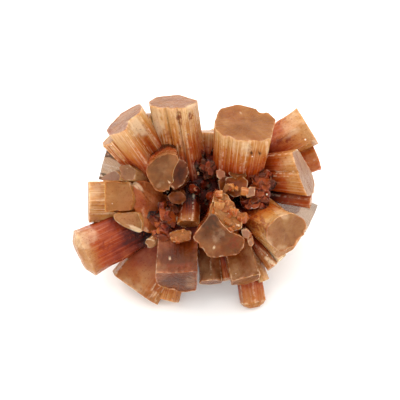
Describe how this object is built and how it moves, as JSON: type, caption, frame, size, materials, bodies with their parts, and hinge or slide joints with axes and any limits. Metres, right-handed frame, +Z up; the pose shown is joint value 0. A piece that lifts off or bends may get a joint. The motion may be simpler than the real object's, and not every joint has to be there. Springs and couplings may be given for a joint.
{
  "type": "aragonite sputnik crystal cluster",
  "caption": "Radiating ball of stout six-sided aragonite crystals with flat ends, grown together from one middle; rests on its lowest crystals.",
  "frame": {"origin": "on the surface that the cluster rests on, under the middle of its bounding box", "axes": "+Z up as it rests, +X to the right along its longest extent, -Y towards the side with the stepped hollow"},
  "size_m": [0.0502, 0.0406, 0.0354],
  "materials": {
    "aragonite": "translucent orange-brown carbonate crystal, cream towards the flat ends and dark red towards the middle, satin to glassy"
  },
  "bodies": {
    "root": {"aragonite_cluster": "aragonite"}
  },
  "joints": []
}
